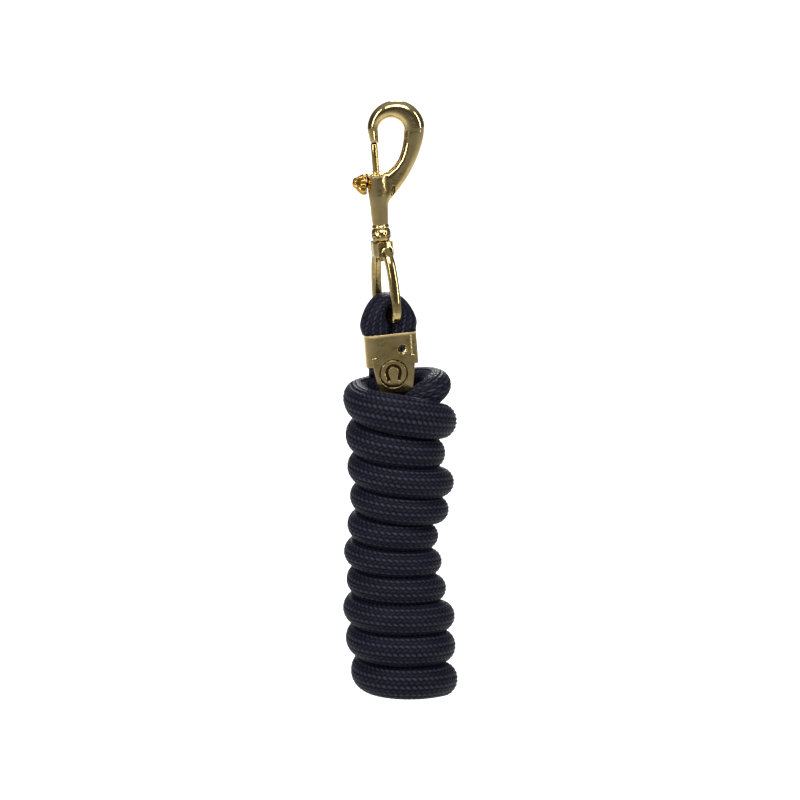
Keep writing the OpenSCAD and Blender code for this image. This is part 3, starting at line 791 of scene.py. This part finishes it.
def clamp_shape(x, y, z):
    half = SHEET / 2
    flare = 0.35 * np.clip((z - CLAMP_TOP + 1.6) / 1.6, 0, 1) ** 2      # rolled top edge
    a = np.abs(x) - CLAMP_W / 2 + half + CORNER_R - flare
    b = np.abs(y) - CLAMP_D / 2 + half + CORNER_R - flare
    rounded = np.minimum(np.maximum(a, b), 0) + np.hypot(np.maximum(a, 0), np.maximum(b, 0)) - CORNER_R
    wall = np.abs(rounded) - half
    lower = CLAMP_END - 1.2 * np.clip((np.abs(x) - 9) / 6, 0, 1)        # the wings' rounded lower corners
    band = plate(wall, np.maximum(z - CLAMP_TOP, lower - z), 0.35)
    band = np.maximum(band, np.where(y > 0, BACK_GAP / 2 - np.abs(x), -9))
    from_punch = np.hypot(x - PUNCH[0], z - PUNCH[1])
    bowed = bow(z)
    front = y + CLAMP_D / 2 - half - bowed
    tongue = plate(outline(TONGUE, x, z), np.abs(front) - half, 0.35)
    body = np.minimum(band, tongue)
    dish = np.hypot(from_punch, y + CLAMP_D / 2 + 1.9) - DISH_R
    body = np.maximum(body, -np.where(y < 0, dish, 9))
    from_mark = np.hypot(x - MARK[0], z - MARK[1])
    depth = y + CLAMP_D / 2 - bowed - 0.5
    ring = np.maximum(np.abs(from_mark - RING_R) - 0.38, depth)
    across, over = np.abs(x - MARK[0]), z - MARK[1] - 0.7
    from_arch = np.where(over > 0, np.hypot(across, over), across - 0.22 * over)
    shoe = np.maximum(np.maximum(np.abs(from_arch - SHOE_R) - 0.9, -over - 5.0), depth)
    body = np.maximum(body, -np.minimum(ring, shoe))
    return np.maximum(body, -np.where(y < 0, from_punch - PUNCH_R, 9))


p, quads = skin(clamp_shape, (-17, -11.5, -152), (17, 11.5, -113.5), 0.26)
clamp_points = np.stack(turned(p.T, CLAMP_TURN), 1)
clamp = built("rope_clamp_stamping", on_axis(clamp_points), quads, plated_gold("clamp_gold", grain=1.5))
# Painted shade in the creases, and the engraved ring and horseshoe painted dark through the same channel
bowed = bow(p[:, 2])
sunk = np.clip((p[:, 1] + CLAMP_D / 2 - bowed - 0.08) / 0.2, 0, 1) * (p[:, 1] < -CLAMP_D / 2 + 1.0 + bowed)
in_mark = np.hypot(p[:, 0] - MARK[0], p[:, 2] - MARK[1]) < RING_R + 0.7
paint_crease_shade(clamp, np.maximum(crease_depth(p, clamp_shape, 0.6), 0.7 * sunk * in_mark))
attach(clamp, "rope")
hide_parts("rope_clamp")


# ---------------------------------------------------------------------------------------------
# Studio. A pale card for the floor, bent up into a wall behind the hanging rope and washed with
# light; a big soft box at the left, a smaller one at the right and a strip above.
def card(name, shade):
    f = Finish(name)
    return f.done({"Base Color": (*shade, 1), "Roughness": 0.85})


FLOOR, BEND_R, BEND_Y = -0.75, 1.5, 4.5
bend = [(-5.0, FLOOR), (3.0, FLOOR)]
bend += arc((BEND_Y, FLOOR + BEND_R), BEND_R, range(-90, 1, 6))
bend += [(BEND_Y + BEND_R, 6.0)]
strips = [(2 * i, 2 * i + 1, 2 * i + 3, 2 * i + 2) for i in range(len(bend) - 1)]
sweep = built(
    "studio_card", [(x, y, z) for y, z in bend for x in (-7, 7)], strips,
    card("pale_card", (0.88, 0.88, 0.88)),
)
world = bpy.data.worlds.new("studio_room")
world.use_nodes = True
sky = world.node_tree
way_up = sky.nodes.new("ShaderNodeSeparateXYZ")
ceiling = sky.nodes.new("ShaderNodeMapRange")
# the room is dim up to 0.4 of the way up and brightest at the ceiling
for number, value in enumerate((0.4, 0.9, 0.08, 0.38), 1):
    ceiling.inputs[number].default_value = value
sky.links.new(sky.nodes.new("ShaderNodeTexCoord").outputs["Generated"], way_up.inputs[0])
sky.links.new(way_up.outputs["Z"], ceiling.inputs[0])
sky.links.new(ceiling.outputs[0], sky.nodes["Background"].inputs["Strength"])
sky.nodes["Background"].inputs["Color"].default_value = (0.96, 0.98, 1, 1)
bpy.context.scene.world = world
bpy.context.scene.view_settings.view_transform = "Standard"
for name, place, aim, wide, high, power in (
    ("left_box", (-0.95, -0.9, 0.35), AIM, 0.22, 0.9, 8),
    ("right_box", (1.0, -0.6, 0.2), AIM, 0.1, 0.9, 4),
    ("top_strip", (0.05, -0.6, 0.6), AIM, 0.7, 0.3, 6),
    ("floor_wash", (0, 3.0, 1.2), (0, 3.01, -1), 0.5, 3.4, 110),
):
    lamp = bpy.data.lights.new(name, "AREA")
    lamp.shape = "RECTANGLE"
    lamp.size, lamp.size_y, lamp.energy = wide, high, power
    box = bpy.data.objects.new(name, lamp)
    box.location = place
    box.rotation_euler = (Vector(aim) - Vector(place)).to_track_quat("-Z", "Y").to_euler()
    box.visible_camera = False
    bpy.context.scene.collection.objects.link(box)
